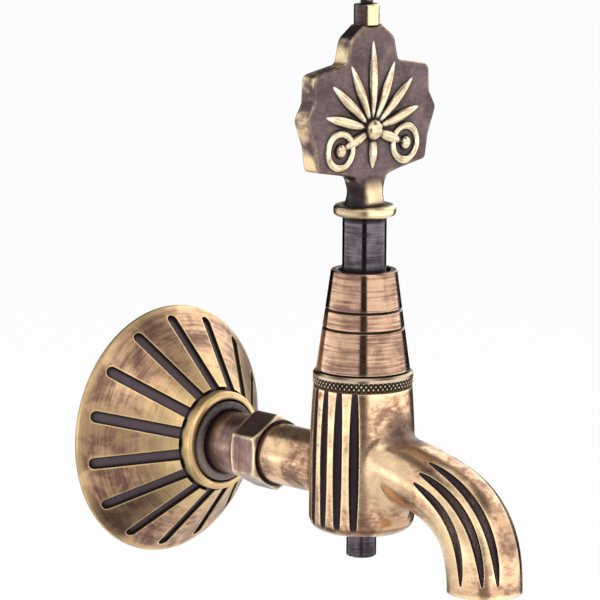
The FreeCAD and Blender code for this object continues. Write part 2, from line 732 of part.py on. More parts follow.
def bonnet_shroud():
    foot_top = RING_TOP + CONE_FOOT_H
    inside_foot = BUSH_THREAD_TOP + FREE_GAP
    straight = CONE_TOP - (CONE_BORE_R + CONE_WALL - CONE_MOUTH_R) / CONE_SLOPE
    cone = turned([
        (BUSH_R, RING_TOP),
        (CONE_FOOT_R, RING_TOP),
        (CONE_FOOT_R, foot_top),
        (CONE_BASE_R, foot_top),
        (CONE_MOUTH_R, CONE_TOP, CONE_RIM_ROUND),
        (CONE_BORE_R, CONE_TOP, CONE_RIM_ROUND),
        (CONE_BORE_R, min(straight, CONE_TOP - 2 * CONE_RIM_ROUND)),
        (cone_radius(inside_foot) - CONE_WALL, inside_foot),
        (BUSH_R, inside_foot),
    ])
    for down in CONE_RINGS:
        height = CONE_TOP - down
        radius = cone_radius(height)
        cone = cone.cut(turned([
            (radius - CONE_RING_D, height),
            (radius + CONE_RING_D, height - CONE_RING_W),
            (radius + CONE_RING_D, height + CONE_RING_W),
        ]))
    return on_barrel(cone)


def oval_wire(height, half_width, half_depth):
    """Level oval about the Z axis."""
    return Part.Wire(Part.Ellipse(Vector(0, 0, height), half_width, half_depth).toShape())


def handle_neck():
    """Round waist under the plate, which grows wide and flat and dies into the plate's faces."""
    return Part.makeLoft([
        circle_wire(Vector(0, 0, HUB_TOP), Z_AXIS, NECK_FOOT_R),
        circle_wire(Vector(0, 0, HUB_TOP + NECK_WAIST_H), Z_AXIS, NECK_WAIST_R),
        oval_wire(PLATE_FOOT - NECK_HEAD_DROP, *NECK_HEAD),
        oval_wire(PLATE_FOOT + NECK_END_RISE, *NECK_END),
    ], True)


def handle_plate():
    """Flat outlined plate, parallel to the wall at rest."""
    right = [(u, PLATE_FOOT + v, radius) for u, v, radius in PLATE_CORNERS]
    left = [(-u, v, radius) for u, v, radius in reversed(right)]
    plate = rounded_face(right + left).extrude(Vector(0, PLATE_T, 0))
    plate.translate(Vector(0, -PLATE_T / 2, 0))
    rims = [edge for edge in plate.Edges if abs(abs(edge.CenterOfMass.y) - PLATE_T / 2) < 1e-6]
    return plate.makeFillet(PLATE_ROUND, rims)


def handle():
    collar = turned([
        (0, HUB_FOOT),
        (HUB_R, HUB_FOOT, HUB_ROUND),
        (HUB_R, HUB_TOP, HUB_ROUND),
        (0, HUB_TOP),
    ])
    casting = collar.fuse(handle_neck()).fuse(handle_plate())
    casting = casting.cut(square_bar(HUB_FOOT - CUT_OVER, HUB_FOOT + SQUARE_H))
    casting = casting.cut(grub_bar(SQUARE / 2, 2 * HUB_R))
    casting = casting.cut(rod(TENON_R, PLATE_TOP - TENON_H, PLATE_TOP + CUT_OVER))
    for turn in (0, 180):
        casting = casting.cut(turned_about(pegs(), Z_AXIS, turn))
    return on_barrel(casting)


def grub_bar(start, end):
    """Round bar along the grub screw's way in, between two distances from the stem's axis."""
    return Part.makeCylinder(GRUB_R, end - start, Vector(0, start, HUB_FOOT + HUB_H / 2), Y_AXIS)


def handle_grub_screw():
    start = SQUARE / 2
    screw = grub_bar(start, start + GRUB_LENGTH)
    key = hexagon(GRUB_KEY, 0, GRUB_KEY_DEPTH + CUT_OVER)
    key.rotate(ORIGIN, X_AXIS, -90)
    key.translate(Vector(0, start + GRUB_LENGTH - GRUB_KEY_DEPTH, HUB_FOOT + HUB_H / 2))
    return on_barrel(screw.cut(key))


def finial():
    tip_foot = PLATE_TOP + FINIAL_H
    return on_barrel(turned([
        (0, PLATE_TOP - TENON_H),
        (TENON_R, PLATE_TOP - TENON_H),
        (TENON_R, PLATE_TOP),
        (FINIAL_R, PLATE_TOP),
        (FINIAL_R, tip_foot, FINIAL_ROUND),
        (FINIAL_TIP_R, tip_foot),
        (FINIAL_TIP_R, tip_foot + FINIAL_TIP_H, FINIAL_TIP_ROUND),
        (0, tip_foot + FINIAL_TIP_H),
    ]))


def scroll_centres():
    """Centres of the two ring scrolls, left and right of the boss and below it."""
    return [Vector(side * SCROLL_X, 0, ORNAMENT_Z - SCROLL_DROP) for side in (-1, 1)]


def pegs():
    """Pegs that hold one ornament in the plate, at the boss and under the scrolls."""
    face = -PLATE_T / 2
    centres = [Vector(0, 0, ORNAMENT_Z)] + scroll_centres()
    bars = [Part.makeCylinder(PEG_R, PEG_DEPTH, centre + Vector(0, face, 0), Y_AXIS) for centre in centres]
    return Part.makeCompound(bars)


def ornament_leaf(angle, length):
    """Leaf that grows out of the boss at an angle from up."""
    leaf = spindle(LEAF_RADIUS, length)
    leaf.translate(Vector(0, 0, LEAF_START - LEAF_RADIUS))
    leaf = turned_about(leaf, Y_AXIS, angle)
    leaf.translate(Vector(0, 0, ORNAMENT_Z))
    return leaf


def ornament_forms():
    """Round forms of the ornament, with their middles on one plane."""
    boss = Vector(0, 0, ORNAMENT_Z)
    forms = [Part.makeSphere(BOSS_BALL_R, boss)]
    forms.append(ornament_leaf(0, TOP_LEAF_LENGTH))
    forms.append(ornament_leaf(180, DROP_LENGTH))
    for angle, length in zip(SIDE_LEAF_ANGLES, SIDE_LEAF_LENGTHS):
        leaf = ornament_leaf(angle, length)
        forms.extend([leaf, mirrored(leaf)])
    for centre in scroll_centres():
        forms.append(Part.makeTorus(SCROLL_R, SCROLL_WIRE_R, centre, Y_AXIS))
        forms.append(Part.makeSphere(SCROLL_EYE_R, centre))
        link = centre - boss
        bar = spindle(LEAF_RADIUS, link.Length)
        bar = turned_about(bar, Y_AXIS, math.degrees(math.atan2(link.x, link.z)))
        bar.translate(boss)
        forms.append(bar)
    return forms


def ornament():
    """One ornament on the plate's front face, before it is moved to the barrel's axis."""
    forms = ornament_forms()
    shape = forms[0].multiFuse(forms[1:])
    shape.translate(Vector(0, ORNAMENT_SINK - PLATE_T / 2, 0))
    box = shape.BoundBox
    room = Part.makeBox(2 * box.XLength, box.YLength, 2 * box.ZLength,
                        Vector(-box.XLength, -PLATE_T / 2 - box.YLength, box.ZMin - box.ZLength / 2))
    return shape.common(room).fuse(pegs()).removeSplitter()


def front_ornament():
    return on_barrel(ornament())


def back_ornament():
    return on_barrel(turned_about(ornament(), Z_AXIS, 180))


PIECES = (
    wall_rose, rose_gasket, rose_grommet, inlet_nipple, nipple_washer, tap_body, stop_pin,
    thrust_washer, bonnet_nut, gland_packing, gland_follower, gland_screw, ring_washer,
    knurled_ring, bonnet_shroud, taper_plug, tail_washer, tail_spring, tail_nut,
    handle, handle_grub_screw, finial, front_ornament, back_ornament,
)


def main():
    os.makedirs("parts", exist_ok=True)
    for piece in PIECES:
        shape = piece()
        shape.exportStep(os.path.join("parts", piece.__name__ + ".step"))
        box = shape.BoundBox
        print(f"{piece.__name__}: {len(shape.Solids)} solid, valid {shape.isValid()},"
              f" {box.XLength:.1f} x {box.YLength:.1f} x {box.ZLength:.1f} mm, {shape.Volume:.0f} mm3")


main()
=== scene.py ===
"""Wall-mounted bath tap in aged brass: finishes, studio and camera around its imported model."""
import logging
import math
from collections.abc import Callable
from dataclasses import dataclass
from enum import Enum
from typing import ClassVar

import bmesh
import bpy
from mathutils import Matrix, Vector


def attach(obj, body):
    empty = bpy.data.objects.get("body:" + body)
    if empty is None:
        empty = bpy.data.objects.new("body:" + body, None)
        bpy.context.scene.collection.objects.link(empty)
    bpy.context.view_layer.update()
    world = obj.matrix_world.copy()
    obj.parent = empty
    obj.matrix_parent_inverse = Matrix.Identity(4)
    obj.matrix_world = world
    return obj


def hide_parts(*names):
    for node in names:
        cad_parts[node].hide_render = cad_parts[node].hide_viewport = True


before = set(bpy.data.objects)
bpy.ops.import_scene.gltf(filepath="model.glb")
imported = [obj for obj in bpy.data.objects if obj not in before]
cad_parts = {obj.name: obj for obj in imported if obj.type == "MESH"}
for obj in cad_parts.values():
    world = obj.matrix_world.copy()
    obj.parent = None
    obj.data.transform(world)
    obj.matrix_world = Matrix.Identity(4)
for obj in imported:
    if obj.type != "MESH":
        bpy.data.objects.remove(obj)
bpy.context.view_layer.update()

LOG = logging.getLogger("bath_tap")
MM = 0.001
# Rays of a node that finds low places and edges: enough for a mask without grain
SHADE_RAYS = 12

Socket = bpy.types.NodeSocket
Tree = bpy.types.NodeTree
Material = bpy.types.Material
Feed = float | tuple[float, ...] | Socket
Mask = Callable[[Tree, Socket], Socket]


def linear(colour: str) -> tuple[float, float, float, float]:
    """Turn an sRGB hex colour into a linear one.

    Args:
        colour: a hash sign and six hex digits.

    Returns:
        Linear red, green and blue, and an alpha of one.
    """
    values = []
    for place in (1, 3, 5):
        share = int(colour[place:place + 2], 16) / 255
        values.append(share / 12.92 if share <= 0.04045 else ((share + 0.055) / 1.055) ** 2.4)
    return (*values, 1.0)


def add(tree: Tree, kind: str, inputs: dict[int | str, Feed] | None = None,
        out: int | str = 0, **settings: object) -> Socket | None:
    """Add a shader node with its settings and links.

    Args:
        tree: node tree that takes the node.
        kind: Blender's name of the node, without its prefix.
        inputs: value or feeding socket for each input that isn't left alone.
        out: output to hand back.
        settings: attributes of the node.

    Returns:
        The chosen output socket, or nothing if the node has none.
    """
    made = tree.nodes.new("ShaderNode" + kind)
    for name, value in settings.items():
        setattr(made, name, value)
    for name, feed in (inputs or {}).items():
        if isinstance(feed, Socket):
            tree.links.new(feed, made.inputs[name])
        else:
            made.inputs[name].default_value = feed
    return made.outputs[out] if made.outputs else None


def new_material(name: str) -> tuple[Material, Tree, Socket]:
    """Start a node material.

    Args:
        name: name of the material.

    Returns:
        The material, its node tree, and the place on the piece in millimetres.
    """
    material = bpy.data.materials.new(name)
    material.use_nodes = True
    tree = material.node_tree
    tree.nodes.clear()
    place = add(tree, "TexCoord", out="Object")
    point = add(tree, "VectorMath", {0: place, "Scale": 1 / MM}, operation="SCALE")
    return material, tree, point


class Lay(Enum):
    """Way the brush or the lathe ran over a surface, as stretch factors along X, Y and Z."""

    UPRIGHT_TURNED = (0.04, 0.04, 1.0)
    INLET_TURNED = (0.04, 1.0, 0.04)
    HAND_BRUSHED = (0.3, 0.3, 0.7)


@dataclass(frozen=True)
class AgedBrass:
    """Brass browned with acid, then brushed back and waxed.

    The brush leaves fine parallel lines, the browning stays in clouds and in low places, and high
    edges are rubbed bright. A piece's masks can also paint shade in with the low colour and
    highlights in with the rubbed one.
    """

    name: str
    brushed: str
    browned: str
    # Colour of patina in low places, also laid on as painted shade
    low: str
    # Colour of rubbed edges, also laid on as painted highlights
    rubbed: str
    lay: Lay
    brown_share: float = 0.5
    brown_blend: float = 0.25
    roughness: float = 0.3
    streak_mm: float = 0.7
    streak_share: float = 0.45
    cloud_mm: float = 9.0
    low_reach_mm: float = 2.5
    low_open: float = 0.97
    low_shut: float = 0.8
    edge_mm: float = 0.8
    edge_open: float = 0.92
    edge_shut: float = 0.55
    lip_mm: float = 0.3
    relief_mm: float = 0.05
    anisotropy: float = 0.0
    # Colour where the piece's own dark mask is full; in the rose's mouth it is painted shade
    floor: str | None = None
    hollow_mm: float = 0.0
    # Span of the clouds that brown_share moves through
    CLOUD_SPAN: ClassVar[float] = 0.3
    # Openness at which a hollow begins and is full, and the brown that stays there
    HOLLOW_OPEN: ClassVar[float] = 0.95
    HOLLOW_SHUT: ClassVar[float] = 0.6
    HOLLOW_SHARE: ClassVar[float] = 0.85
    # Unevenness of the wear on edges, and how bright it gets
    WEAR_SPREAD: ClassVar[float] = 0.4
    WEAR_SHARE: ClassVar[float] = 0.9
    # What brush lines, browning and dirt do to the shine
    BRUSH_ROUGHNESS: ClassVar[float] = 0.05
    BROWN_ROUGHNESS: ClassVar[float] = 0.08
    LOW_ROUGHNESS: ClassVar[float] = 0.2
    LOW_METALLIC: ClassVar[float] = 0.6
    RELIEF_STRENGTH: ClassVar[float] = 0.35

    def material(self, low_and_shade_mask: Mask | None = None, worn_and_lit_mask: Mask | None = None) -> Material:
        """Make the material.

        Args:
            low_and_shade_mask: adds nodes that find the low places of one piece more sharply than
                shade does, and the places that are painted dark as shade.
            worn_and_lit_mask: adds nodes that find places that hands and cloths rub bright, and
                places that are painted with a highlight.
            worn_and_lit_mask: adds nodes that find places that hands and cloths rub bright.

        Returns:
            The finished material.
        """
        material, tree, point = new_material(self.name)
        # Real brush lines are about 0.1 mm apart; they are drawn coarser, so that they show
        stretch = tuple(share / self.streak_mm for share in self.lay.value)
        along = add(tree, "VectorMath", {0: point, 1: stretch}, operation="MULTIPLY")
        streak = add(tree, "TexNoise", {"Vector": along, "Scale": 1.0, "Detail": 4.0,
                                        "Roughness": 0.6})
        cloud = add(tree, "TexNoise", {"Vector": point, "Scale": 1 / self.cloud_mm, "Detail": 6.0,
                                       "Roughness": 0.62, "Distortion": 0.5})
        mixed = add(tree, "Math", {0: streak, 1: self.streak_share, 2: cloud},
                    operation="MULTIPLY_ADD")
        middle = 0.5 + 0.5 * self.streak_share + self.CLOUD_SPAN * (0.5 - self.brown_share)
        brown = add(tree, "MapRange", {"Value": mixed, "From Min": middle - self.brown_blend,
                                       "From Max": middle + self.brown_blend},
                    interpolation_type="SMOOTHSTEP")
        if self.hollow_mm:
            # A cloth misses the hollows between the limbs, so they stay brown
            hollow = add(tree, "AmbientOcclusion", {"Distance": self.hollow_mm * MM}, out="AO",
                         samples=SHADE_RAYS, only_local=True)
            missed = add(tree, "MapRange", {"Value": hollow, "From Min": self.HOLLOW_OPEN,
                                            "From Max": self.HOLLOW_SHUT,
                                            "To Max": self.HOLLOW_SHARE})
            brown = add(tree, "Math", {0: brown, 1: missed}, operation="MAXIMUM")
        # Occlusion darkens recesses to the low colour; along the spun rose's slot walls this is
        # painted shade
        shade = add(tree, "AmbientOcclusion", {"Distance": self.low_reach_mm * MM}, out="AO",
                    samples=SHADE_RAYS)
        low = add(tree, "MapRange", {"Value": shade, "From Min": self.low_open,
                                     "From Max": self.low_shut},
                  interpolation_type="SMOOTHSTEP")
        # The piece's own dark mask: dirt in low places, and painted shade
        deep = low_and_shade_mask(tree, point) if low_and_shade_mask is not None else None
        inner = add(tree, "AmbientOcclusion", {"Distance": self.edge_mm * MM}, out="AO",
                    samples=SHADE_RAYS, inside=True, only_local=True)
        # Wear is uneven, so the clouds push its border to and fro
        worn = add(tree, "Math", {0: cloud, 1: self.WEAR_SPREAD, 2: inner}, operation="MULTIPLY_ADD")
        shift = 0.5 * self.WEAR_SPREAD
        edge = add(tree, "MapRange", {"Value": worn, "From Min": self.edge_open + shift,
                                      "From Max": self.edge_shut + shift, "To Max": self.WEAR_SHARE},
                   interpolation_type="SMOOTHSTEP")
        # The piece's own bright mask: wear, and painted highlights
        if worn_and_lit_mask is not None:
            edge = add(tree, "Math", {0: edge, 1: worn_and_lit_mask(tree, point)}, operation="MAXIMUM")
        colour = add(tree, "Mix", {0: brown, 6: linear(self.brushed), 7: linear(self.browned)},
                     out=2, data_type="RGBA")
        colour = add(tree, "Mix", {0: edge, 6: colour, 7: linear(self.rubbed)}, out=2,
                     data_type="RGBA")
        if deep is not None:
            colour = add(tree, "Mix", {0: deep, 6: colour, 7: linear(self.floor or self.low)},
                         out=2, data_type="RGBA")
        colour = add(tree, "Mix", {0: low, 6: colour, 7: linear(self.low)}, out=2, data_type="RGBA")
        if deep is not None:
            low = add(tree, "Math", {0: low, 1: deep}, operation="MAXIMUM")
        rough = add(tree, "MapRange", {"Value": streak,
                                       "To Min": self.roughness - self.BRUSH_ROUGHNESS,
                                       "To Max": self.roughness + self.BRUSH_ROUGHNESS})
        rough = add(tree, "Math", {0: brown, 1: self.BROWN_ROUGHNESS, 2: rough},
                    operation="MULTIPLY_ADD")
        rough = add(tree, "Math", {0: low, 1: self.LOW_ROUGHNESS, 2: rough},
                    operation="MULTIPLY_ADD", use_clamp=True)
        metal = add(tree, "MapRange", {"Value": low, "To Min": 1.0, "To Max": self.LOW_METALLIC})
        lip = add(tree, "Bevel", {"Radius": self.lip_mm * MM}, samples=4)
        height = streak if self.anisotropy else mixed
        normal = add(tree, "Bump", {"Height": height, "Strength": self.RELIEF_STRENGTH,
                                    "Distance": self.relief_mm * MM, "Normal": lip})
        inputs = {"Base Color": colour, "Roughness": rough, "Metallic": metal, "Normal": normal}
        if self.anisotropy:
            # Rings left by the lathe draw a reflection out across them
            tangent = add(tree, "Tangent", direction_type="RADIAL", axis="Z")
            inputs |= {"Tangent": tangent, "Anisotropic": self.anisotropy,
                       "Anisotropic Rotation": 0.25}
        add(tree, "OutputMaterial", {"Surface": add(tree, "BsdfPrincipled", inputs)})
        return material


@dataclass(frozen=True)
class PlainFinish:
    """Material of a soft or inner piece: one colour with specks and a slight unevenness."""

    name: str
    colour: str
    speck: str
    roughness: float
    grain_mm: float
    metallic: float = 0.0
    ior: float = 1.5
    top_shade_mm: float = 0.0
    ROUGH_SPREAD: ClassVar[float] = 0.1
    # Share of the specks that still shows in the painted shade at the top
    SPECKS_IN_TOP_SHADE: ClassVar[float] = 0.3

    def material(self) -> Material:
        """Make the material.

        Returns:
            The finished material.
        """
        material, tree, point = new_material(self.name)
        grain = add(tree, "TexNoise", {"Vector": point, "Scale": 1 / self.grain_mm, "Detail": 5.0,
                                       "Roughness": 0.6})
        share = add(tree, "MapRange", {"Value": grain, "From Min": 0.38, "From Max": 0.68},
                    interpolation_type="SMOOTHSTEP")
        # Painted shade: the top keeps the dark colour and the lower half turns to the paler specks
        if self.top_shade_mm:
            height = add(tree, "SeparateXYZ", {0: point}, out="Z")
            lower_half = add(tree, "MapRange", {"Value": height, "From Min": self.top_shade_mm,
                                           "From Max": -self.top_shade_mm})
            share = add(tree, "Math", {0: share, 1: self.SPECKS_IN_TOP_SHADE, 2: lower_half},
                        operation="MULTIPLY_ADD", use_clamp=True)
        colour = add(tree, "Mix", {0: share, 6: linear(self.colour), 7: linear(self.speck)}, out=2,
                     data_type="RGBA")
        rough = add(tree, "MapRange", {"Value": grain, "To Min": self.roughness - self.ROUGH_SPREAD,
                                       "To Max": self.roughness + self.ROUGH_SPREAD})
        normal = add(tree, "Bump", {"Height": grain, "Strength": 0.4, "Distance": 0.04 * MM})
        inputs = {"Base Color": colour, "Roughness": rough, "Metallic": self.metallic,
                  "Normal": normal}
        if not self.metallic:
            inputs["IOR"] = self.ior
        add(tree, "OutputMaterial", {"Surface": add(tree, "BsdfPrincipled", inputs)})
        return material


# Spun sheet brass: rings from the tool under a brown that was brushed off the ribs; the near-black
# along the slots' walls is painted shade
SPUN_BRASS = AgedBrass("brass_spun_browned", "#d2ab86", "#7b5c50", "#1f171b", "#f9da9c",
                       Lay.INLET_TURNED, brown_blend=0.16, roughness=0.36, low_open=0.92,
                       low_shut=0.6, lip_mm=0.45, floor="#5d4e55")
# Cast brass, linished by hand: soft clouds of brown, bright where a palm or a cloth reaches, which on
# the spout's cheeks is also a painted highlight; the crotch over the spout takes painted shade
CAST_BRASS = AgedBrass("brass_cast_brushed", "#e0b893", "#8c6957", "#2a1c25", "#fbddb0",
                       Lay.HAND_BRUSHED, brown_share=0.42, brown_blend=0.15, roughness=0.23,
                       cloud_mm=8.0, low_shut=0.85, edge_mm=1.6, edge_open=0.97, edge_shut=0.72,
                       lip_mm=0.5, relief_mm=0.03, hollow_mm=14.0)
# Drawn hexagon bar: dark flats between edges that the spanner rubbed bright
HEXAGON_BRASS = AgedBrass("brass_drawn_browned", "#997d73", "#6d5858", "#2a2023", "#f8e2b8",
                          Lay.INLET_TURNED, brown_blend=0.17, roughness=0.24, edge_mm=1.5,
                          edge_open=0.97, edge_shut=0.76, lip_mm=0.7)
# Bar brass turned on a lathe: fine level rings that draw the light out upwards
TURNED_BRASS = AgedBrass("brass_turned_browned", "#d3ad90", "#866557", "#2b1e1c", "#f6dcbc",
                         Lay.UPRIGHT_TURNED, brown_blend=0.2, roughness=0.14, streak_share=1.1,
                         edge_mm=0.5, relief_mm=0.02, anisotropy=0.9)
# The same bar, left nearly black: the brown was never brushed off the stem and its nut
BLACKENED_BRASS = AgedBrass("brass_turned_blackened", "#625a61", "#3d363c", "#171315", "#a6948e",
                            Lay.UPRIGHT_TURNED, brown_share=0.4, brown_blend=0.15, roughness=0.14,
                            streak_share=0.8, edge_mm=0.5, relief_mm=0.02, anisotropy=0.9)
# Cast plate: dark in the flat, bright on every edge and on the hub that the fingers reach; the neck
# takes painted shade on its sides and a painted highlight in front, and the rim's bright patches are
# partly painted reflections
PLATE_BRASS = AgedBrass("brass_cast_darkened", "#6b5958", "#504245", "#1d1618", "#f8dcb0",
                        Lay.HAND_BRUSHED, brown_blend=0.2, roughness=0.24, cloud_mm=10.0, edge_mm=1.0,
                        edge_open=0.97, edge_shut=0.65, lip_mm=0.5)
# Turned post on the plate: browned like it, with a painted highlight in front and behind
POST_BRASS = AgedBrass("brass_turned_darkened", "#5f4e4c", "#43373a", "#1d1618", "#f8dcb0",
                       Lay.UPRIGHT_TURNED, brown_blend=0.15, roughness=0.2, edge_mm=0.5,
                       relief_mm=0.02, anisotropy=0.9)
# Raised work rubbed bright by hands
RUBBED_BRASS = AgedBrass("brass_cast_rubbed", "#f0dab4", "#b99a7c", "#2b2024", "#fdf0d8",
                         Lay.HAND_BRUSHED, brown_share=0.3, brown_blend=0.17, roughness=0.2,
                         cloud_mm=4.0)
# Ring that hands turn: browned between the teeth, rubbed on their tips
KNURLED_BRASS = AgedBrass("brass_knurled_browned", "#b89b82", "#6f594f", "#191215", "#fae6c4",
                          Lay.UPRIGHT_TURNED, brown_share=0.4, roughness=0.22, low_reach_mm=0.6,
                          edge_mm=0.5, lip_mm=0.1, relief_mm=0.02)
# Cut brass of the inner pieces, never browned
CUT_BRASS = AgedBrass("brass_machined_bare", "#d9b978", "#c4a066", "#6b5236", "#efd9a4",
                      Lay.UPRIGHT_TURNED, brown_share=0.2, roughness=0.22)
# Moulded rubber: brown-black and dull, paler in its lower half; its darker top is painted shade
RUBBER = PlainFinish("rubber_moulded_brown", "#2e2426", "#84706a", 0.4, 1.2, ior=1.52, top_shade_mm=6.0)
# Vulcanised fibre: red-brown pressed sheet with paler threads
FIBRE = PlainFinish("fibre_pressed_red", "#6d3628", "#87503c", 0.75, 0.8)
# Skived PTFE: milky white, waxy
PTFE = PlainFinish("ptfe_skived_white", "#e6e4de", "#d4d1ca", 0.45, 2.0, ior=1.35)
# Drawn steel wire and strip: grey with a dull shine
STEEL = PlainFinish("steel_drawn_plain", "#8b8b8d", "#6f7073", 0.35, 0.6, metallic=1.0)


class SubAssembly:
    """Pieces that are fitted together."""

    @staticmethod
    def paint(material: Material, *nodes: str) -> None:
        """Give CAD nodes their material.

        Args:
            material: finished material.
            nodes: names of the nodes.
        """
        for node in nodes:
            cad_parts[node].material_slots[0].material = material
            LOG.info("%s: %s", node, material.name)


@dataclass
class WallRose(SubAssembly):
    """Slotted cover on the wall with its soft rings; sizes in millimetres."""

    radius: float = 41.3
    rim: float = 1.0
    cone_height: float = 25.0
    collar_radius: float = 16.3
    slot_depth: float = 1.1
    mouth_radius: float = 13.2
    # Shares of a slot's depth at which its dirt begins, is full, and ends
    dirt_start: float = 0.25
    dirt_full: float = 0.8
    dirt_end: float = 1.3
    # How far outside the mouth its painted shade begins and is full
    mouth_start: float = 0.7
    mouth_full: float = 0.1
    # Shares of the radius at which rubbing begins or is full, and how bright it gets
    ribs_start: float = 0.75
    ribs_share: float = 0.6
    rim_start: float = 0.95
    rim_full: float = 0.995
    rim_share: float = 0.4

    def slot_dirt_and_mouth_shade_mask(self, tree: Tree, point: Socket) -> Socket:
        """Find the slots' floors, by how far they lie under the cone, and the wall of the mouth,
        which is painted dark as shade.

        Args:
            tree: node tree that takes the nodes.
            point: place on the piece in millimetres.

        Returns:
            One in a slot and in the mouth, and zero on the cone and inside it.
        """
        slope = (self.cone_height - self.rim) / (self.radius - self.collar_radius)
        flat = add(tree, "VectorMath", {0: point, 1: (1, 0, 1)}, operation="MULTIPLY")
        out = add(tree, "VectorMath", {0: flat}, out="Value", operation="LENGTH")
        cone = add(tree, "Math", {0: out, 1: -slope, 2: self.rim + self.radius * slope},
                   operation="MULTIPLY_ADD")
        depth = add(tree, "Math", {0: cone, 1: add(tree, "SeparateXYZ", {0: point}, out="Y")})
        floor = self.slot_depth * math.hypot(1, slope)
        deep = add(tree, "MapRange", {"Value": depth, "From Min": self.dirt_start * floor,
                                      "From Max": self.dirt_full * floor},
                   interpolation_type="SMOOTHSTEP")
        outside = add(tree, "Math", {0: depth, 1: self.dirt_end * floor}, operation="LESS_THAN")
        slots = add(tree, "Math", {0: deep, 1: outside}, operation="MULTIPLY")
        # Painted shade: the inner wall of the mouth goes dark
        mouth = add(tree, "MapRange", {"Value": out, "From Min": self.mouth_radius + self.mouth_start,
                                       "From Max": self.mouth_radius + self.mouth_full},
                    interpolation_type="SMOOTHSTEP")
        return add(tree, "Math", {0: slots, 1: mouth}, operation="MAXIMUM")

    def rubbed_mask(self, tree: Tree, point: Socket) -> Socket:
        """Find the collar, the inner ends of the ribs and the rim, which a cloth rubs most.

        Args:
            tree: node tree that takes the nodes.
            point: place on the piece in millimetres.

        Returns:
            A share that grows towards the collar and the rim.
        """
        flat = add(tree, "VectorMath", {0: point, 1: (1, 0, 1)}, operation="MULTIPLY")
        out = add(tree, "VectorMath", {0: flat}, out="Value", operation="LENGTH")
        ribs = add(tree, "MapRange", {"Value": out, "From Min": self.ribs_start * self.radius,
                                      "From Max": self.collar_radius, "To Max": self.ribs_share},
                   interpolation_type="SMOOTHSTEP")
        rim = add(tree, "MapRange", {"Value": out, "From Min": self.rim_start * self.radius,
                                     "From Max": self.rim_full * self.radius,
                                     "To Max": self.rim_share},
                  interpolation_type="SMOOTHSTEP")
        return add(tree, "Math", {0: ribs, 1: rim}, operation="MAXIMUM")

    def dress(self) -> None:
        """Give the pieces their finishes."""
        self.paint(SPUN_BRASS.material(self.slot_dirt_and_mouth_shade_mask, self.rubbed_mask), "wall_rose")
        self.paint(RUBBER.material(), "rose_gasket", "rose_grommet")


@dataclass
class Inlet(SubAssembly):
    """Threaded nipple with its hexagon and washer."""

    def dress(self) -> None:
        """Give the pieces their finishes."""
        self.paint(HEXAGON_BRASS.material(), "inlet_nipple")
        self.paint(FIBRE.material(), "nipple_washer")


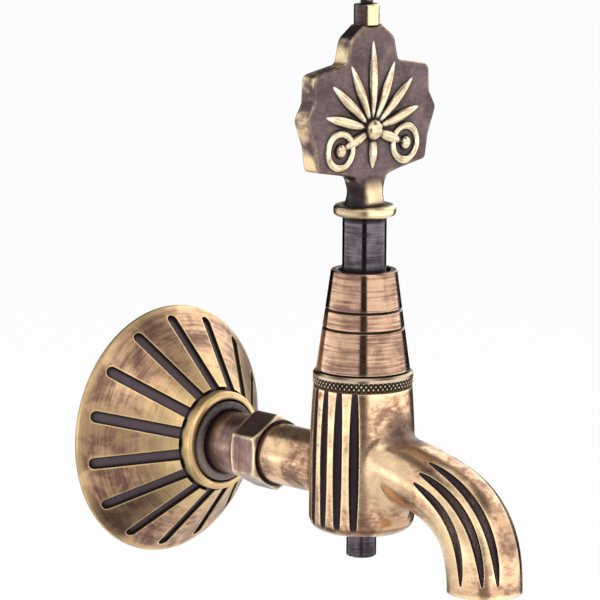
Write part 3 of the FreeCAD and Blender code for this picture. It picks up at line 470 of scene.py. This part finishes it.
@dataclass
class TapBody(SubAssembly):
    """Cast body with barrel and spout; sizes in millimetres."""

    reach: float = 90.5
    top: float = 28.4
    top_radius: float = 15.7
    waist_radius: float = 16.8
    flute_foot: float = -17.0
    # Depth at which a flute's dirt begins and is full, and the height in which it fades at the foot
    flute_start: float = 0.15
    flute_full: float = 0.6
    flute_fade: float = 2.0
    # Places that palms rub and that carry a painted highlight, how far and how bright; the right side
    # mirrors the left one
    root_cheek: tuple[float, float, float] = (9.5, -110.0, 3.0)
    root_reach: float = 16.0
    bend_cheek: tuple[float, float, float] = (9.0, -136.0, -14.0)
    bend_reach: float = 20.0
    cheek_core: float = 0.3
    cheek_share: float = 0.65
    # Place over the spout that is painted dark as shade, with a ragged border given in shares of its
    # reach
    crotch: tuple[float, float, float] = (0.0, -110.0, 15.5)
    crotch_reach: float = 10.0
    crotch_start: float = 1.5
    crotch_full: float = 0.9
    crotch_shade_share: float = 0.7
    ragged_mm: float = 4.0

    def flute_dirt_and_crotch_shade_mask(self, tree: Tree, point: Socket) -> Socket:
        """Find the flutes, by how far they lie under the barrel's side, and the spout's crotch, which
        takes painted shade.

        Args:
            tree: node tree that takes the nodes.
            point: place on the piece in millimetres.

        Returns:
            One in a flute, less in the crotch's painted shade, and zero on the side.
        """
        centred = add(tree, "VectorMath", {0: point, 1: (0, self.reach, 0)}, operation="ADD")
        flat = add(tree, "VectorMath", {0: centred, 1: (1, 1, 0)}, operation="MULTIPLY")
        out = add(tree, "VectorMath", {0: flat}, out="Value", operation="LENGTH")
        height = add(tree, "SeparateXYZ", {0: point}, out="Z")
        rise = add(tree, "MapRange", {"Value": height, "From Max": self.top})
        bend = add(tree, "Math", {0: rise, 1: 2.0}, operation="POWER")
        side = add(tree, "Math", {0: bend, 1: self.top_radius - self.waist_radius,
                                  2: self.waist_radius},
                   operation="MULTIPLY_ADD")
        depth = add(tree, "Math", {0: side, 1: out}, operation="SUBTRACT")
        deep = add(tree, "MapRange", {"Value": depth, "From Min": self.flute_start,
                                      "From Max": self.flute_full},
                   interpolation_type="SMOOTHSTEP")
        above = add(tree, "MapRange", {"Value": height, "From Min": self.flute_foot,
                                       "From Max": self.flute_foot + self.flute_fade})
        flutes = add(tree, "Math", {0: deep, 1: above}, operation="MULTIPLY")
        # Painted shade: the crotch between barrel and spout goes dark
        away = add(tree, "VectorMath", {0: point, 1: self.crotch}, out="Value", operation="DISTANCE")
        ragged = add(tree, "TexNoise", {"Vector": point, "Scale": 1 / self.ragged_mm, "Detail": 4.0})
        away = add(tree, "Math", {0: ragged, 1: self.crotch_reach, 2: away},
                   operation="MULTIPLY_ADD")
        crotch = add(tree, "MapRange", {"Value": away,
                                        "From Min": self.crotch_start * self.crotch_reach,
                                        "From Max": self.crotch_full * self.crotch_reach,
                                        "To Max": self.crotch_shade_share},
                     interpolation_type="SMOOTHSTEP")
        return add(tree, "Math", {0: flutes, 1: crotch}, operation="MAXIMUM")

    def palm_wear_and_highlight_mask(self, tree: Tree, point: Socket) -> Socket:
        """Find the cheeks of the spout's root and bend, left and right, which palms rub and which
        carry a painted highlight.

        Args:
            tree: node tree that takes the nodes.
            point: place on the piece in millimetres.

        Returns:
            A share that falls off round the middle of each cheek.
        """
        mirrored = add(tree, "VectorMath", {0: point}, operation="ABSOLUTE")
        sideways = add(tree, "SeparateXYZ", {0: mirrored}, out="X")
        straight = add(tree, "SeparateXYZ", {0: point}).node.outputs
        folded = add(tree, "CombineXYZ", {"X": sideways, "Y": straight["Y"], "Z": straight["Z"]})
        # Painted highlight, partly palm wear: the cheeks go bright
        shares = []
        for cheek, reach in ((self.root_cheek, self.root_reach), (self.bend_cheek, self.bend_reach)):
            away = add(tree, "VectorMath", {0: folded, 1: cheek}, out="Value", operation="DISTANCE")
            shares.append(add(tree, "MapRange", {"Value": away, "From Min": reach,
                                                 "From Max": self.cheek_core * reach,
                                                 "To Max": self.cheek_share},
                              interpolation_type="SMOOTHSTEP"))
        return add(tree, "Math", {0: shares[0], 1: shares[1]}, operation="MAXIMUM")

    def dress(self) -> None:
        """Give the pieces their finishes."""
        self.paint(CAST_BRASS.material(self.flute_dirt_and_crotch_shade_mask, self.palm_wear_and_highlight_mask), "tap_body")
        self.paint(STEEL.material(), "stop_pin")


@dataclass
class Bonnet(SubAssembly):
    """Cone and knurled ring, with the bush, packing and gland inside; sizes in millimetres."""

    axis: tuple[float, float] = (0.0, -90.5)
    ring_foot: float = 28.8
    ring_radius: float = 16.0
    ring_bore: float = 12.3
    ring_height: float = 4.6
    ring_bevel: float = 0.7
    knurl_foot: float = 0.35
    knurl_height: float = 2.6
    knurl_depth: float = 0.5
    knurl_count: int = 64
    diamond_height: float = 1.9
    columns_per_diamond: int = 8
    knurl_rows: int = 20
    # Steps inwards from the knurl to the ring's foot and to the plain band, and the second's height
    foot_step: float = 0.2
    band_step: float = 0.1
    run_out: float = 0.05
    # Shares of the knurl's depth at which a pit's dirt begins and is full
    pit_start: float = 0.3
    pit_full: float = 0.75
    # Height in which the band's brightness sets in, and how bright it gets
    band_fade: float = 0.3
    band_share: float = 0.3

    def ring_rows(self) -> list[tuple[float, float, bool]]:
        """Run round the ring's section.

        Returns:
            Radius, height above its foot, and whether the knurl lies there, for each row.
        """
        radius, height, bevel = self.ring_radius, self.ring_height, self.ring_bevel
        knurl_top = self.knurl_foot + self.knurl_height
        band = radius - self.band_step
        rows = [(self.ring_bore, 0.0, False),
                (radius - self.knurl_depth - self.foot_step, 0.0, False)]
        for index in range(self.knurl_rows + 1):
            rows.append((radius, self.knurl_foot + self.knurl_height * index / self.knurl_rows, True))
        rows += [(band, knurl_top + self.run_out, False), (band, height - bevel, False),
                 (radius - bevel, height, False), (self.ring_bore, height, False)]
        return rows

    def diamond(self, turn: float, height: float) -> float:
        """Depth of the knurl, cut by two families of crossing grooves.

        Args:
            turn: place round the ring, in diamonds.
            height: height above the ring's foot.

        Returns:
            Share of the full depth, from zero on a point to one in a groove.
        """
        lift = height / self.diamond_height
        walls = [abs((slant + 0.5) % 1.0 - 0.5) for slant in (turn + lift, turn - lift)]
        return 1.0 - 2.0 * min(walls)

    def pit_mask(self, tree: Tree, point: Socket) -> Socket:
        """Find the pits of the knurl, by how far they lie under the ring's side.

        Args:
            tree: node tree that takes the nodes.
            point: place on the piece in millimetres.

        Returns:
            One in a pit and zero on a point.
        """
        centre = (self.axis[0], self.axis[1], 0.0)
        centred = add(tree, "VectorMath", {0: point, 1: centre}, operation="SUBTRACT")
        flat = add(tree, "VectorMath", {0: centred, 1: (1, 1, 0)}, operation="MULTIPLY")
        out = add(tree, "VectorMath", {0: flat}, out="Value", operation="LENGTH")
        start = self.ring_radius - self.pit_start * self.knurl_depth
        full = self.ring_radius - self.pit_full * self.knurl_depth
        deep = add(tree, "MapRange", {"Value": out, "From Min": start, "From Max": full},
                   interpolation_type="SMOOTHSTEP")
        height = add(tree, "SeparateXYZ", {0: point}, out="Z")
        top = self.ring_foot + self.knurl_foot + self.knurl_height
        below = add(tree, "Math", {0: height, 1: top + self.run_out}, operation="LESS_THAN")
        return add(tree, "Math", {0: deep, 1: below}, operation="MULTIPLY")

    def band_mask(self, tree: Tree, point: Socket) -> Socket:
        """Find the plain band above the knurl, which fingers rub.

        Args:
            tree: node tree that takes the nodes.
            point: place on the piece in millimetres.

        Returns:
            A share that is zero on the knurl.
        """
        height = add(tree, "SeparateXYZ", {0: point}, out="Z")
        top = self.ring_foot + self.knurl_foot + self.knurl_height
        return add(tree, "MapRange", {"Value": height, "From Min": top,
                                      "From Max": top + self.band_fade, "To Max": self.band_share})

    def build_ring(self) -> bpy.types.Object:
        """Make the ring with a diamond knurl.

        Returns:
            The ring, standing for its CAD node.
        """
        columns = self.knurl_count * self.columns_per_diamond
        skin = bmesh.new()
        loops = []
        for radius, height, knurled in self.ring_rows():
            loop = []
            for column in range(columns):
                out = radius
                if knurled:
                    turn = column / self.columns_per_diamond
                    out -= self.knurl_depth * self.diamond(turn, height)
                angle = 2 * math.pi * column / columns
                place = Vector((self.axis[0] + out * math.cos(angle),
                                self.axis[1] + out * math.sin(angle), self.ring_foot + height))
                loop.append(skin.verts.new(place * MM))
            loops.append(loop)
        for lower, upper in zip(loops, loops[1:] + loops[:1]):
            for column in range(columns):
                after = (column + 1) % columns
                skin.faces.new((lower[column], lower[after], upper[after], upper[column]))
        mesh = bpy.data.meshes.new("knurled_ring_cut")
        skin.to_mesh(mesh)
        skin.free()
        ring = bpy.data.objects.new("knurled_ring_cut", mesh)
        bpy.context.scene.collection.objects.link(ring)
        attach(ring, "tap")
        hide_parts("knurled_ring")
        return ring

    def dress(self) -> None:
        """Cut the knurl and give the pieces their finishes."""
        ring = self.build_ring()
        ring.data.materials.append(KNURLED_BRASS.material(self.pit_mask, self.band_mask))
        LOG.info("%s: %s", ring.name, KNURLED_BRASS.name)
        self.paint(TURNED_BRASS.material(), "bonnet_shroud")
        self.paint(CUT_BRASS.material(), "bonnet_nut", "gland_follower", "gland_screw")
        self.paint(FIBRE.material(), "ring_washer")
        self.paint(PTFE.material(), "gland_packing", "thrust_washer")


@dataclass
class Plug(SubAssembly):
    """Taper plug with its stem, and the washer, spring and nut on its tail."""

    def dress(self) -> None:
        """Give the pieces their finishes."""
        self.paint(BLACKENED_BRASS.material(), "taper_plug", "tail_nut")
        self.paint(CUT_BRASS.material(), "tail_washer")
        self.paint(STEEL.material(), "tail_spring")


@dataclass
class Handle(SubAssembly):
    """Cast handle with its ornaments, finial and grub screw; sizes in millimetres."""

    axis: tuple[float, float, float] = (0.0, -90.5, 0.0)
    hub_top: float = 86.3
    plate_foot: float = 94.2
    patch_mm: float = 9.0
    # Cosines to the front at which a neck's painted highlight begins and is full, and how bright it
    # gets
    front_start: float = 0.6
    front_full: float = 0.86
    front_highlight_share: float = 0.95
    # The same for the plate's rim, and for the noise that breaks its rubbing and painted reflections
    # up into patches
    rim_start: float = 0.7
    rim_full: float = 0.3
    patch_start: float = 0.4
    patch_full: float = 0.6
    patch_share: float = 0.9
    # Heights in which hub, neck and plate change into each other, and the share of each mark;
    # the neck's sides take painted shade
    hub_fade: float = 0.4
    hub_share: float = 0.4
    neck_fade: float = 0.6
    neck_shade_share: float = 0.75
    plate_fade: float = 1.0
    shade_fade: float = 2.0
    highlight_fade: float = 4.0

    def painted_front_light_mask(self, tree: Tree, point: Socket) -> Socket:
        """Find the front and the back of a round piece on the plug's axis, which carry a painted
        highlight.

        Args:
            tree: node tree that takes the nodes.
            point: place on the piece in millimetres.

        Returns:
            A share that is zero on the sides, in line with the plate.
        """
        centred = add(tree, "VectorMath", {0: point, 1: self.axis}, operation="SUBTRACT")
        flat = add(tree, "VectorMath", {0: centred, 1: (1, 1, 0)}, operation="MULTIPLY")
        facing = add(tree, "VectorMath", {0: flat}, operation="NORMALIZE")
        facing = add(tree, "VectorMath", {0: facing}, operation="ABSOLUTE")
        return add(tree, "MapRange", {"Value": add(tree, "SeparateXYZ", {0: facing}, out="Y"),
                                      "From Min": self.front_start, "From Max": self.front_full,
                                      "To Max": self.front_highlight_share},
                   interpolation_type="SMOOTHSTEP")

    def rim_wear_and_reflection_mask(self, tree: Tree, point: Socket) -> Socket:
        """Find the patches of the plate's rim that are rubbed through, which also stand for painted
        reflections.

        Args:
            tree: node tree that takes the nodes.
            point: place on the piece in millimetres.

        Returns:
            A share that is zero on the plate's faces and on the neck.
        """
        normal = add(tree, "TexCoord", out="Normal")
        facing = add(tree, "VectorMath", {0: normal}, operation="ABSOLUTE")
        across = add(tree, "SeparateXYZ", {0: facing}, out="Y")
        rim = add(tree, "MapRange", {"Value": across, "From Min": self.rim_start,
                                     "From Max": self.rim_full})
        # Bright patches on the rim's sides: partly wear, partly painted reflections
        patch = add(tree, "TexNoise", {"Vector": point, "Scale": 1 / self.patch_mm, "Detail": 3.0})
        worn = add(tree, "MapRange", {"Value": patch, "From Min": self.patch_start,
                                      "From Max": self.patch_full, "To Max": self.patch_share},
                   interpolation_type="SMOOTHSTEP")
        worn = add(tree, "Math", {0: worn, 1: rim}, operation="MULTIPLY")
        height = add(tree, "SeparateXYZ", {0: point}, out="Z")
        above = add(tree, "Math", {0: height, 1: self.plate_foot}, operation="GREATER_THAN")
        return add(tree, "Math", {0: worn, 1: above}, operation="MULTIPLY")

    def neck_side_shade_mask(self, tree: Tree, point: Socket) -> Socket:
        """Find the sides of the neck, which are painted dark as shade.

        Args:
            tree: node tree that takes the nodes.
            point: place on the piece in millimetres.

        Returns:
            A share that is zero on the hub, on the plate, and on the neck's front and back.
        """
        height = add(tree, "SeparateXYZ", {0: point}, out="Z")
        above = add(tree, "MapRange", {"Value": height, "From Min": self.hub_top,
                                       "From Max": self.hub_top + self.neck_fade,
                                       "To Max": self.neck_shade_share})
        below = add(tree, "MapRange", {"Value": height, "From Min": self.plate_foot + self.plate_fade,
                                       "From Max": self.plate_foot - self.shade_fade})
        neck = add(tree, "Math", {0: above, 1: below}, operation="MULTIPLY")
        # Painted shade: the neck's sides go dark
        sides = add(tree, "Math", {0: 1.0, 1: self.painted_front_light_mask(tree, point)}, operation="SUBTRACT")
        return add(tree, "Math", {0: neck, 1: sides}, operation="MULTIPLY")

    def grip_wear_and_painted_light_mask(self, tree: Tree, point: Socket) -> Socket:
        """Find the hub, the painted highlight on the neck's front and back, and the rim's patches of
        wear and painted reflection.

        Args:
            tree: node tree that takes the nodes.
            point: place on the piece in millimetres.

        Returns:
            A share that is zero on the plate's faces.
        """
        height = add(tree, "SeparateXYZ", {0: point}, out="Z")
        hub = add(tree, "MapRange", {"Value": height, "From Min": self.hub_top + self.hub_fade,
                                     "From Max": self.hub_top - self.hub_fade,
                                     "To Max": self.hub_share},
                  interpolation_type="SMOOTHSTEP")
        # Painted highlight: the neck's front and back go bright
        neck = add(tree, "MapRange", {"Value": height, "From Min": self.plate_foot + self.plate_fade,
                                      "From Max": self.plate_foot - self.highlight_fade},
                   interpolation_type="SMOOTHSTEP")
        neck = add(tree, "Math", {0: neck, 1: self.painted_front_light_mask(tree, point)}, operation="MULTIPLY")
        grip = add(tree, "Math", {0: hub, 1: neck}, operation="MAXIMUM")
        return add(tree, "Math", {0: grip, 1: self.rim_wear_and_reflection_mask(tree, point)}, operation="MAXIMUM")

    def dress(self) -> None:
        """Give the pieces their finishes."""
        self.paint(PLATE_BRASS.material(self.neck_side_shade_mask, self.grip_wear_and_painted_light_mask), "handle")
        self.paint(RUBBED_BRASS.material(), "front_ornament", "back_ornament")
        self.paint(POST_BRASS.material(worn_and_lit_mask=self.painted_front_light_mask), "finial")
        self.paint(STEEL.material(), "handle_grub_screw")


@dataclass(frozen=True)
class Panel:
    """Sheet that faces the tap; angles in degrees as for the camera, sizes in metres."""

    name: str
    azimuth: float
    elevation: float
    distance: float
    width: float
    height: float


@dataclass(frozen=True)
class Softbox(Panel):
    """Panel of white cloth with a lamp behind it, which may be raised without tilting it."""

    radiance: float
    lift: float = 0.0


@dataclass
class Studio:
    """Camera, lamps, floor and surrounding light; lengths in millimetres unless said."""

    azimuth: float = -45.08
    elevation: float = 10.54
    roll: float = 0.42
    target: tuple[float, float, float] = (2.1, -60.0, 51.2)
    distance: float = 1285.5
    focal_px: float = 4000.0
    frame_px: float = 600.0
    sensor: float = 36.0
    clip_m: tuple[float, float] = (0.05, 50.0)
    floor_level: float = -260.0
    floor_radius: float = 9000.0
    floor_sides: int = 96
    backdrop_height: float = 1500.0
    floor_glow: float = 0.97
    room_radiance: float = 0.12
    # Watts that a square metre of a lamp needs for a radiance of one
    lamp_watts: float = 4.0
    softboxes: tuple[Softbox, ...] = (
        # The four round the tap stand upright and share corners, so that no seam shows in the metal
        Softbox("softbox_front_left", -84.0, 0.0, 1.2, 1.3, 1.55, 0.72, lift=0.46),
        Softbox("softbox_front_right", -6.0, 0.0, 1.2, 1.3, 1.55, 1.05, lift=0.46),
        Softbox("softbox_side_left", -140.886, 0.0, 1.2, 1.3, 1.55, 0.85, lift=0.46),
        Softbox("softbox_side_right", 50.886, 0.0, 1.2, 1.3, 1.55, 0.9, lift=0.46),
        Softbox("softbox_back_right", 102.0, 30.0, 1.2, 1.0, 1.1, 1.4),
        Softbox("softbox_front_high", -45.0, 42.0, 1.2, 1.5, 0.9, 0.75),
        Softbox("softbox_top", -45.0, 85.0, 1.4, 1.2, 1.2, 0.7),
    )
    # Black cloths that the metal shows as dark lines down its middle and its edges
    screens: tuple[Panel, ...] = (
        Panel("screen_front", -45.0, -6.0, 1.0, 0.31, 0.76),
        Panel("screen_front_low", -45.0, -12.0, 0.98, 0.44, 0.275),
        Panel("screen_back_left", 168.0, 0.0, 0.7, 0.5, 0.9),
        Panel("screen_back_right", 102.0, -17.0, 0.7, 0.5, 0.5),
        Panel("flag_under_rose", -124.0, -70.5, 0.145, 0.06, 0.055),
        # Backs of the upright softboxes, without which the backdrop would shine through the lamps
        Panel("softbox_back_front_left", -84.0, 4.0, 1.21, 1.32, 0.27),
        Panel("softbox_back_front_right", -6.0, 4.0, 1.21, 1.32, 0.27),
        Panel("softbox_back_side_left", -140.886, 4.0, 1.21, 1.32, 0.27),
        Panel("softbox_back_side_right", 50.886, 4.0, 1.21, 1.32, 0.27),
    )

    @staticmethod
    def towards(azimuth: float, elevation: float) -> Vector:
        """Unit direction out to a place round the tap.

        Args:
            azimuth: degrees from -Y towards +X.
            elevation: degrees above the horizon.

        Returns:
            The direction.
        """
        turn, rise = math.radians(azimuth), math.radians(elevation)
        return Vector((math.sin(turn) * math.cos(rise), -math.cos(turn) * math.cos(rise),
                       math.sin(rise)))

    @classmethod
    def looking_in(cls, azimuth: float, elevation: float, roll: float = 0.0) -> Matrix:
        """Turn a camera or lamp at a place round the tap to face it.

        Args:
            azimuth: degrees from -Y towards +X.
            elevation: degrees above the horizon.
            roll: degrees about the line of sight.

        Returns:
            The turn as a matrix of four rows.
        """
        back = cls.towards(azimuth, elevation)
        right = cls.towards(azimuth + 90, 0)
        turn = Matrix((right, back.cross(right), back)).transposed()
        return (turn @ Matrix.Rotation(math.radians(roll), 3, "Z")).to_4x4()

    def put_camera(self) -> None:
        """Set up the camera as it stood for the photograph."""
        camera = bpy.data.cameras.new("camera")
        camera.sensor_width = self.sensor
        camera.lens = self.focal_px / self.frame_px * self.sensor
        camera.clip_start, camera.clip_end = self.clip_m
        holder = bpy.data.objects.new("camera", camera)
        place = Vector(self.target) + self.towards(self.azimuth, self.elevation) * self.distance
        holder.matrix_world = (Matrix.Translation(place * MM)
                               @ self.looking_in(self.azimuth, self.elevation, self.roll))
        bpy.context.scene.collection.objects.link(holder)
        bpy.context.scene.camera = holder

    def put_lamps(self) -> None:
        """Hang the softboxes."""
        for box in self.softboxes:
            lamp = bpy.data.lights.new(box.name, "AREA")
            lamp.shape = "RECTANGLE"
            lamp.size, lamp.size_y = box.width, box.height
            lamp.energy = self.lamp_watts * box.width * box.height * box.radiance
            self.stand(box, lamp).location.z += box.lift

    def stand(self, panel: Panel, data: bpy.types.ID) -> bpy.types.Object:
        """Stand a panel in its place, facing the tap and out of the camera's sight.

        Args:
            panel: place and size.
            data: lamp or mesh.

        Returns:
            The object in its place.
        """
        holder = bpy.data.objects.new(panel.name, data)
        out = self.towards(panel.azimuth, panel.elevation) * panel.distance
        holder.matrix_world = (Matrix.Translation(Vector(self.target) * MM + out)
                               @ self.looking_in(panel.azimuth, panel.elevation))
        holder.visible_camera = False
        bpy.context.scene.collection.objects.link(holder)
        return holder

    def put_screens(self) -> None:
        """Stand the black cloths."""
        material, tree, point = new_material("cotton_woven_black")
        # Black stage cloth: matt, with a nap that swallows light
        nap = add(tree, "TexNoise", {"Vector": point, "Scale": 1.0})
        colour = add(tree, "Mix", {0: nap, 6: linear("#050505"), 7: linear("#0b0b0b")}, out=2,
                     data_type="RGBA")
        add(tree, "OutputMaterial", {"Surface": add(tree, "BsdfDiffuse", {"Color": colour})})
        for panel in self.screens:
            sheet = bmesh.new()
            half = Matrix.Diagonal((panel.width / 2, panel.height / 2, 1, 1))
            bmesh.ops.create_grid(sheet, x_segments=1, y_segments=1, size=1, matrix=half)
            mesh = bpy.data.meshes.new(panel.name)
            sheet.to_mesh(mesh)
            sheet.free()
            mesh.materials.append(material)
            self.stand(panel, mesh)

    def put_floor(self) -> None:
        """Lay the pale floor, whose paper turns up all round into a low backdrop."""
        mesh = bpy.data.meshes.new("floor")
        disc = bmesh.new()
        bmesh.ops.create_circle(disc, cap_ends=True, radius=self.floor_radius * MM,
                                segments=self.floor_sides)
        wall = bmesh.ops.extrude_edge_only(disc, edges=disc.edges[:])["geom"]
        top = [part for part in wall if isinstance(part, bmesh.types.BMVert)]
        bmesh.ops.translate(disc, verts=top, vec=(0, 0, self.backdrop_height * MM))
        disc.to_mesh(mesh)
        disc.free()
        floor = bpy.data.objects.new("floor", mesh)
        floor.location.z = self.floor_level * MM
        bpy.context.scene.collection.objects.link(floor)
        material, tree, point = new_material("paper_white")
        # Seamless paper: white, with a tooth too fine to see
        tooth = add(tree, "TexNoise", {"Vector": point, "Scale": 2.0})
        normal = add(tree, "Bump", {"Height": tooth, "Strength": 0.05, "Distance": 0.1 * MM})
        paper = add(tree, "BsdfDiffuse", {"Color": linear("#f7f7f7"), "Normal": normal})
        path = add(tree, "LightPath").node.outputs
        seen = add(tree, "Math", {0: path["Is Camera Ray"], 1: path["Is Glossy Ray"]},
                   operation="MAXIMUM")
        seen = add(tree, "Math", {0: seen, 1: path["Is Transmission Ray"]}, operation="MAXIMUM")
        share = add(tree, "Math", {0: seen, 1: self.floor_glow}, operation="MULTIPLY")
        glow = add(tree, "Emission", {"Color": (1, 1, 1, 1), "Strength": 1.0})
        mixed = add(tree, "MixShader", {0: share, 1: paper, 2: glow})
        add(tree, "OutputMaterial", {"Surface": mixed})
        mesh.materials.append(material)

    def light_room(self) -> None:
        """Fill the room with an even dim light."""
        world = bpy.data.worlds.new("room")
        world.use_nodes = True
        tree = world.node_tree
        tree.nodes.clear()
        glow = add(tree, "Background", {"Color": (1, 1, 1, 1), "Strength": self.room_radiance})
        add(tree, "OutputWorld", {"Surface": glow})
        bpy.context.scene.world = world

    def build(self) -> None:
        """Set up everything round the tap."""
        bpy.context.scene.view_settings.view_transform = "Standard"
        self.put_camera()
        self.put_lamps()
        self.put_screens()
        self.put_floor()
        self.light_room()


def main() -> None:
    """Dress the tap and set up the studio."""
    logging.basicConfig(level=logging.INFO, format="%(name)s: %(message)s")
    Studio().build()
    for group in (WallRose(), Inlet(), TapBody(), Bonnet(), Plug(), Handle()):
        group.dress()


if __name__ == "__main__":
    main()
